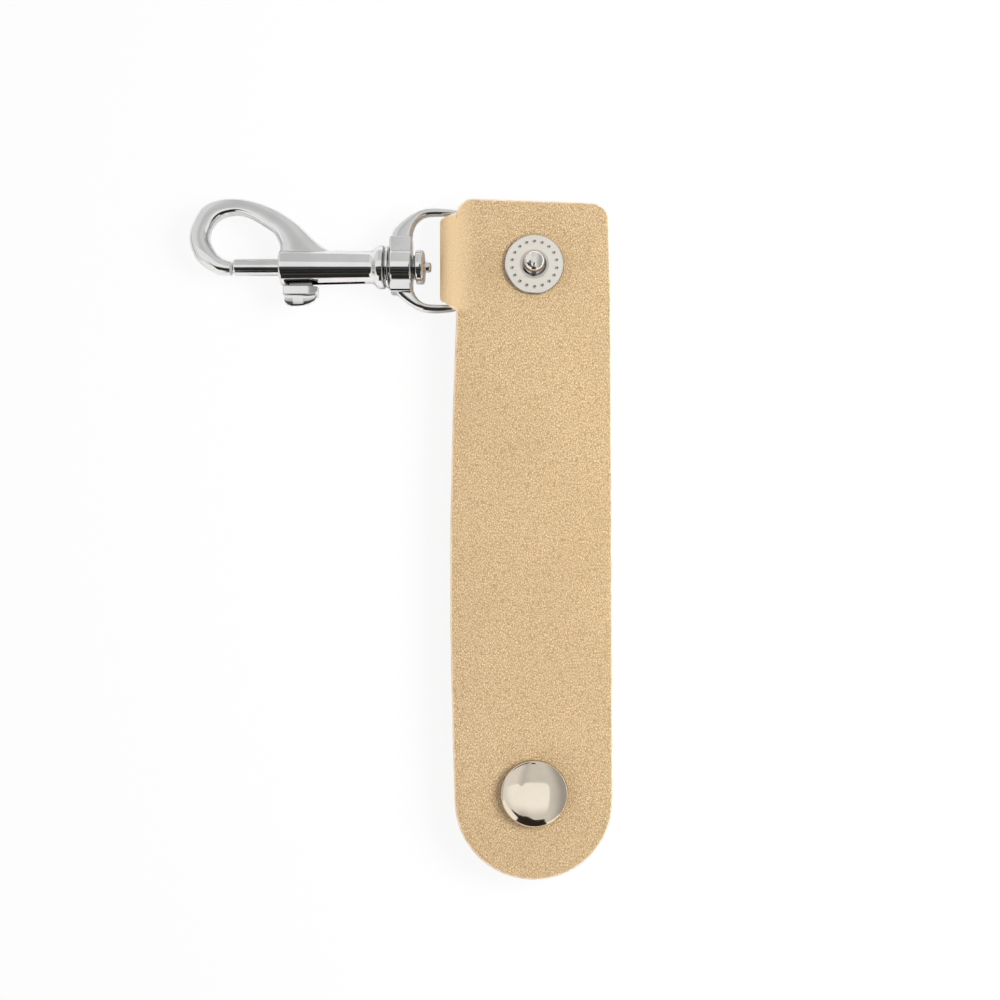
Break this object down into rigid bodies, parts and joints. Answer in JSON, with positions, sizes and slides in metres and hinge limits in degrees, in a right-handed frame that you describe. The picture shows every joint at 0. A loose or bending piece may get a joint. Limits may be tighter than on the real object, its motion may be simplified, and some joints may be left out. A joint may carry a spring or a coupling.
{
  "type": "leather key strap with swivel bolt hook",
  "caption": "Flat leather strap with a rounded tail, a snap fastener that closes it into a loop, and a swivel bolt hook whose ring is held in a folded side tab.",
  "frame": {"origin": "middle of the whole object's box in plan, at the ground that it lies on", "axes": "+Y along the strap from its tail to its head, +X away from the hook, +Z out of the strap's front, up from the ground"},
  "size_m": [0.0786, 0.126, 0.0106],
  "materials": {
    "leather": "fine pebbled grain, matt",
    "snap_plate": "polished nickel plate",
    "snap_inner": "dull nickel plate",
    "hook_chrome": "polished chrome on a casting",
    "spring_wire": "bright drawn wire"
  },
  "bodies": {
    "head": {"strap_head": "leather", "stud": "snap_plate", "stud_post": "snap_inner"},
    "strap_1": {"strap_length_1": "leather"},
    "strap_2": {"strap_length_2": "leather"},
    "strap_3": {"strap_length_3": "leather"},
    "strap_4": {"strap_length_4": "leather"},
    "strap_5": {"strap_length_5": "leather"},
    "tail": {"strap_end": "leather", "cap_shell": "snap_plate", "cap_post": "snap_inner", "socket_body": "snap_inner", "socket_spring": "snap_inner"},
    "eye": {"swivel_eye": "hook_chrome"},
    "hook": {"hook_body": "hook_chrome", "swivel_rivet": "hook_chrome", "latch_spring": "spring_wire"},
    "bolt": {"latch_bolt": "hook_chrome", "thumb_knob": "hook_chrome"}
  },
  "joints": [
    {"name": "strap_curl", "type": "hinge", "parent": "head", "child": "strap_1", "pos_m": [0.02478, 0.04097, 0.0051], "axis": [1, 0, 0], "range_deg": [0, 60], "stiffness_Nm_per_rad": 0.004},
    {"name": "strap_curl_2", "type": "hinge", "parent": "strap_1", "child": "strap_2", "pos_m": [0.02478, 0.02829, 0.0051], "axis": [1, 0, 0], "range_deg": [0, 60], "stiffness_Nm_per_rad": 0.004},
    {"name": "strap_curl_3", "type": "hinge", "parent": "strap_2", "child": "strap_3", "pos_m": [0.02478, 0.0156, 0.0051], "axis": [1, 0, 0], "range_deg": [0, 60], "stiffness_Nm_per_rad": 0.004},
    {"name": "strap_curl_4", "type": "hinge", "parent": "strap_3", "child": "strap_4", "pos_m": [0.02478, -0.0039, 0.0051], "axis": [1, 0, 0], "range_deg": [0, 60], "stiffness_Nm_per_rad": 0.004},
    {"name": "strap_curl_5", "type": "hinge", "parent": "strap_4", "child": "strap_5", "pos_m": [0.02478, -0.02031, 0.0051], "axis": [1, 0, 0], "range_deg": [0, 60], "stiffness_Nm_per_rad": 0.004},
    {"name": "strap_close", "type": "hinge", "parent": "strap_5", "child": "tail", "pos_m": [0.02478, -0.03673, 0.0051], "axis": [1, 0, 0], "range_deg": [0, 60], "stiffness_Nm_per_rad": 0.004},
    {"name": "ring_tilt", "type": "hinge", "parent": "head", "child": "eye", "pos_m": [0.00988, 0.05162, 0.00395], "axis": [0, 1, 0], "range_deg": [-135, 50]},
    {"name": "swivel_turn", "type": "hinge", "parent": "eye", "child": "hook", "pos_m": [-0.00397, 0.05038, 0.00395], "axis": [1, 0, 0], "continuous": true},
    {"name": "bolt_slide", "type": "slide", "parent": "hook", "child": "bolt", "axis": [1, 0, 0], "range_m": [0, 0.0095], "stiffness_N_per_m": 250, "springref_m": -0.008, "deforming": ["latch_spring"]}
  ],
  "couplings": [
    {"joint": "strap_curl_2", "follows": "strap_curl", "ratio": 1},
    {"joint": "strap_curl_3", "follows": "strap_curl", "ratio": 1},
    {"joint": "strap_curl_4", "follows": "strap_curl", "ratio": 1},
    {"joint": "strap_curl_5", "follows": "strap_curl", "ratio": 1}
  ]
}
